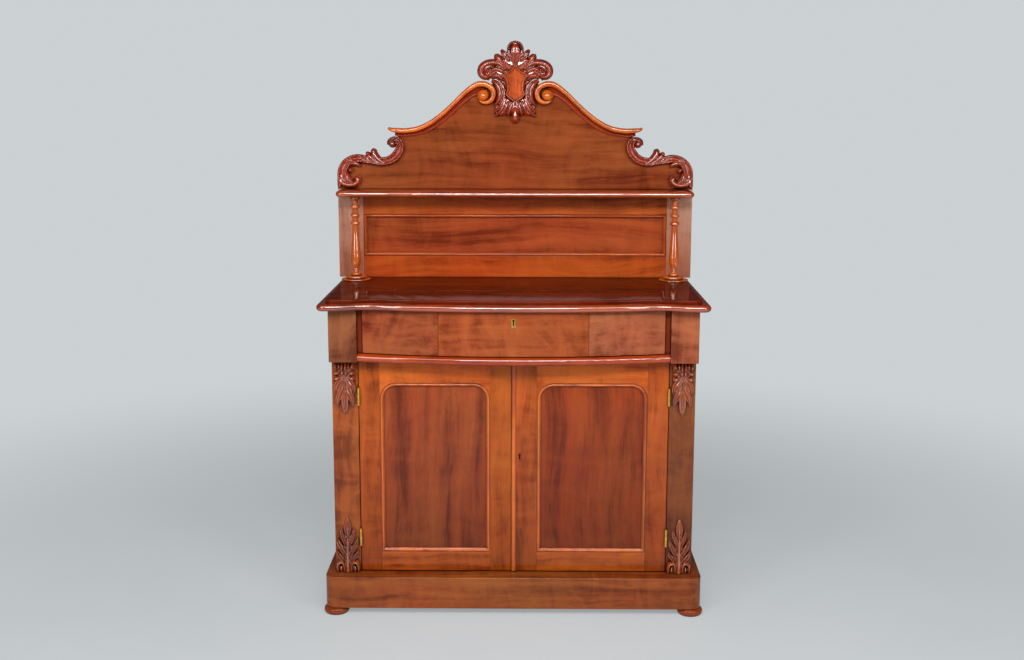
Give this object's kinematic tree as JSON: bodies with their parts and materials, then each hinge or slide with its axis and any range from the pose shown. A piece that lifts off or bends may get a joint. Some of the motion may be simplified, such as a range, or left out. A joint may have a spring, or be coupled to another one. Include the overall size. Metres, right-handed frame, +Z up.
{
  "type": "chiffonier",
  "caption": "Bow-fronted chiffonier with a frieze drawer over panelled cupboard doors, carved leaves, and a shaped gallery with a shelf on turned columns.",
  "frame": {"origin": "on the floor, in the middle of the overall width and depth", "axes": "+Z up, -Y out of the front, +X to the right as seen from the front"},
  "size_m": [1.082, 0.52, 1.62],
  "materials": {
    "mahogany": "gloss french polish",
    "panel_mahogany": "gloss french polish",
    "moulding_mahogany": "gloss french polish",
    "carved_mahogany": "gloss french polish",
    "secondary_wood": "bare, aged",
    "brass": "aged",
    "lock_steel": "dull"
  },
  "bodies": {
    "carcase": {"bun_feet": "mahogany", "plinth_front": "mahogany", "plinth_sides": "mahogany", "side_panels": "mahogany", "frieze_blocks": "mahogany", "drawer_stiles": "mahogany", "pilasters": "mahogany", "drawer_rail": "mahogany", "worktop": "mahogany", "worktop_edge": "mahogany", "gallery_stiles": "mahogany", "gallery_rails": "mahogany", "gallery_shelf": "mahogany", "gallery_board": "mahogany", "columns": "mahogany", "gallery_panel": "panel_mahogany", "gallery_panel_moulding": "moulding_mahogany", "arch_mouldings": "moulding_mahogany", "upper_leaves": "carved_mahogany", "lower_leaves": "carved_mahogany", "side_scrolls": "carved_mahogany", "crest": "carved_mahogany", "plinth_back": "secondary_wood", "plinth_glue_blocks": "secondary_wood", "back_boards": "secondary_wood", "back_top_rail": "secondary_wood", "drawer_runners": "secondary_wood", "drawer_kickers": "secondary_wood", "door_stops": "secondary_wood", "cupboard_bottom": "secondary_wood", "cupboard_shelf": "secondary_wood", "shelf_battens": "secondary_wood", "gallery_dowels": "secondary_wood", "hinge_leaves_pilasters": "brass", "hinge_pins": "brass", "drawer_strike_plate": "brass"},
    "drawer": {"drawer_front": "mahogany", "drawer_sides": "secondary_wood", "drawer_back": "secondary_wood", "drawer_bottom": "secondary_wood", "keyhole_escutcheon": "brass", "drawer_lock_case": "lock_steel"},
    "drawer_lock_bolt": {"drawer_lock_bolt": "lock_steel"},
    "left_door": {"door_stiles_left": "mahogany", "door_rails_left": "mahogany", "door_panel_left": "panel_mahogany", "door_panel_moulding_left": "moulding_mahogany", "hinge_leaves_door_left": "brass", "door_lock_keep": "lock_steel", "left_door_bolt_housings": "brass"},
    "left_door_top_bolt": {"left_door_top_bolt": "brass"},
    "left_door_bottom_bolt": {"left_door_bottom_bolt": "brass"},
    "right_door": {"door_stiles_right": "mahogany", "door_rails_right": "mahogany", "door_panel_right": "panel_mahogany", "door_panel_moulding_right": "moulding_mahogany", "hinge_leaves_door_right": "brass", "meeting_bead": "moulding_mahogany", "door_lock_case": "lock_steel"},
    "door_lock_bolt": {"door_lock_bolt": "lock_steel"}
  },
  "joints": [
    {"name": "drawer_slide", "type": "slide", "parent": "carcase", "child": "drawer", "axis": [0, -1, 0], "range_m": [0, 0.26]},
    {"name": "drawer_lock_slide", "type": "slide", "parent": "drawer", "child": "drawer_lock_bolt", "axis": [0, 0, 1], "range_m": [0, 0.0105]},
    {"name": "left_door_hinge", "type": "hinge", "parent": "carcase", "child": "left_door", "pos_m": [-0.435, -0.1495, 0.423], "axis": [0, 0, -1], "range_deg": [0, 100]},
    {"name": "left_door_top_bolt_slide", "type": "slide", "parent": "left_door", "child": "left_door_top_bolt", "axis": [0, 0, 1], "range_m": [0, 0.013]},
    {"name": "left_door_bottom_bolt_slide", "type": "slide", "parent": "left_door", "child": "left_door_bottom_bolt", "axis": [0, 0, -1], "range_m": [0, 0.013]},
    {"name": "right_door_hinge", "type": "hinge", "parent": "carcase", "child": "right_door", "pos_m": [0.435, -0.1495, 0.423], "axis": [0, 0, 1], "range_deg": [0, 100]},
    {"name": "door_lock_slide", "type": "slide", "parent": "right_door", "child": "door_lock_bolt", "axis": [-1, 0, 0], "range_m": [0, 0.011]}
  ]
}
